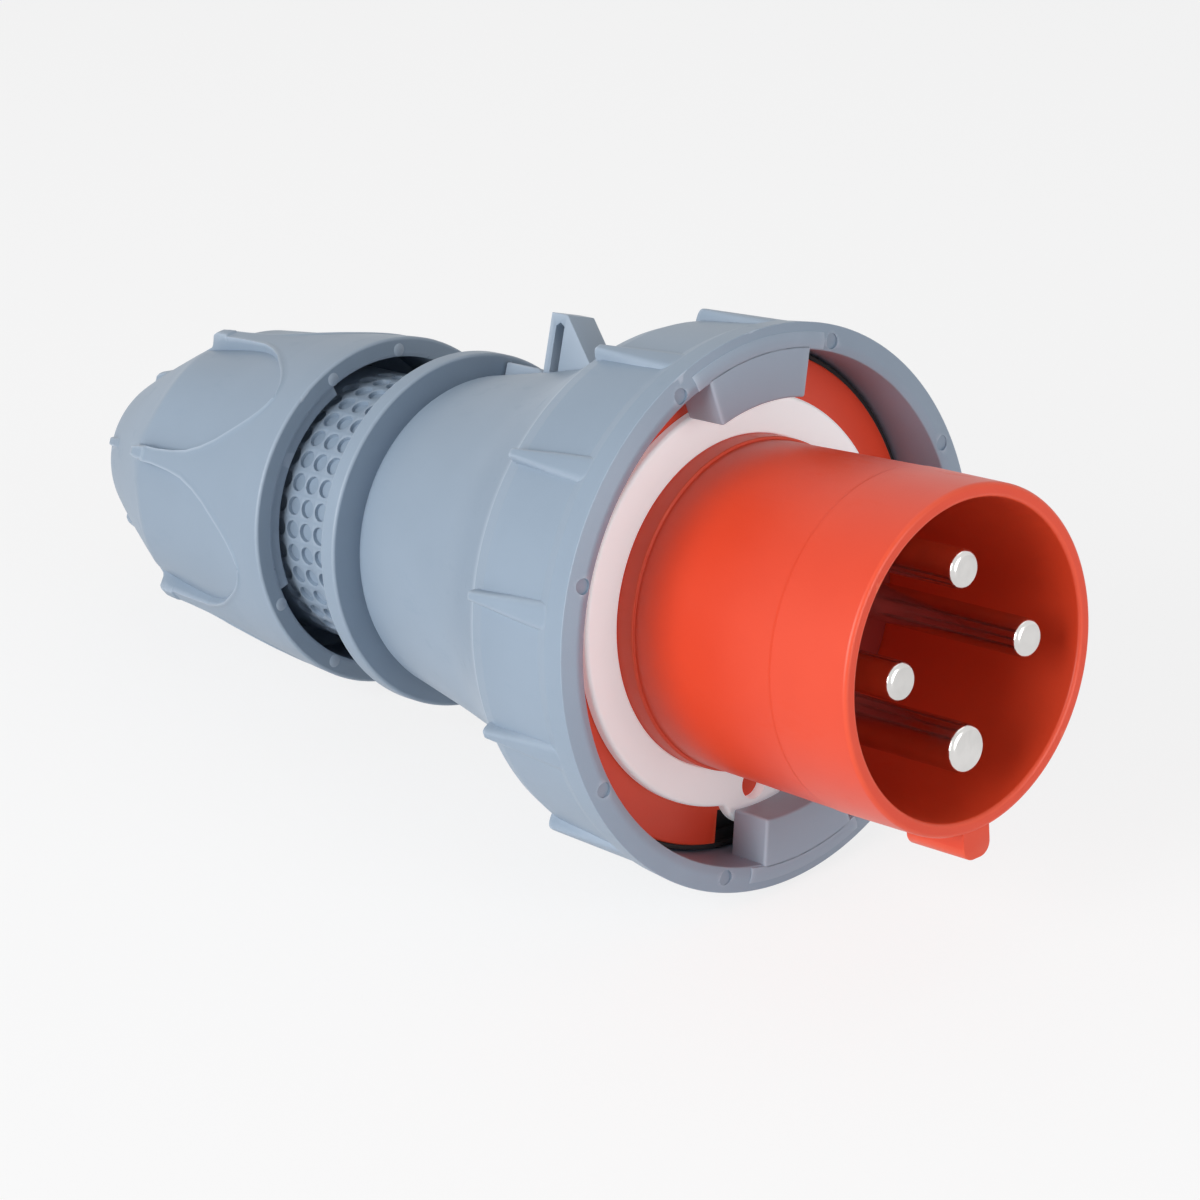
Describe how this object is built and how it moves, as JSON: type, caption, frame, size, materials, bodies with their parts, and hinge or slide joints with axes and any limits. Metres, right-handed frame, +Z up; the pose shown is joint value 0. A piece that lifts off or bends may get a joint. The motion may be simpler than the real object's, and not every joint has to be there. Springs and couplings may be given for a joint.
{
  "type": "industrial pin and sleeve plug",
  "caption": "Industrial pin and sleeve plug with a keyed red contact sleeve, turning bayonet ring, flared grey housing and a gland nut for the cable.",
  "frame": {"origin": "middle of the bounding box's bottom face, on the surface that the plug lies on", "axes": "+Z up, the plug's axis in the XZ plane with its contact mouth towards +X and tipped up by about eight degrees, as it comes to rest"},
  "size_m": [0.2672, 0.119, 0.1193],
  "materials": {
    "red_shell": "fine moulded polyamide, satin",
    "dark_insulator": "dark red insulator",
    "pale_seal": "white silicone seal",
    "black_rubber": "black rubber",
    "grey_shell": "blue-grey moulded polyamide, satin",
    "inner_plastic": "dark moulded plastic",
    "plated_pin": "bright nickel-plated brass",
    "screw_steel": "zinc-plated steel"
  },
  "bodies": {
    "plug_body": {"sleeve_body": "red_shell", "contact_carrier": "dark_insulator", "phase_pin_1": "plated_pin", "terminal_screw_1": "screw_steel", "phase_pin_2": "plated_pin", "terminal_screw_2": "screw_steel", "phase_pin_3": "plated_pin", "terminal_screw_3": "screw_steel", "earth_pin": "plated_pin", "terminal_screw_4": "screw_steel", "carrier_screw_1": "screw_steel", "carrier_screw_2": "screw_steel", "carrier_screw_3": "screw_steel", "insert_screw_1": "screw_steel", "insert_screw_2": "screw_steel", "face_gasket": "pale_seal", "base_seal": "black_rubber", "front_housing": "grey_shell", "gland_body": "grey_shell", "body_o_ring": "black_rubber", "gland_seal": "black_rubber", "clamp_cage": "inner_plastic"},
    "turning_ring": {"bayonet_ring": "grey_shell"},
    "pressing_ring": {"thrust_ring": "inner_plastic"},
    "turning_nut": {"gland_nut": "grey_shell"}
  },
  "joints": [
    {"name": "ring_turn", "type": "hinge", "parent": "plug_body", "child": "turning_ring", "pos_m": [0.05882, 0, 0.05804], "axis": [0.9901, 0, 0.1406], "range_deg": [0, 40]},
    {"name": "thrust_slide", "type": "slide", "parent": "plug_body", "child": "pressing_ring", "axis": [0.9901, 0, 0.1406], "range_m": [0, 0.00802]},
    {"name": "nut_turn", "type": "hinge", "parent": "pressing_ring", "child": "turning_nut", "pos_m": [-0.08835, 0, 0.03714], "axis": [0.9901, 0, 0.1406], "range_deg": [0, 720]}
  ],
  "couplings": [
    {"joint": "thrust_slide", "follows": "nut_turn", "m_per_rad": 0.00063662}
  ]
}
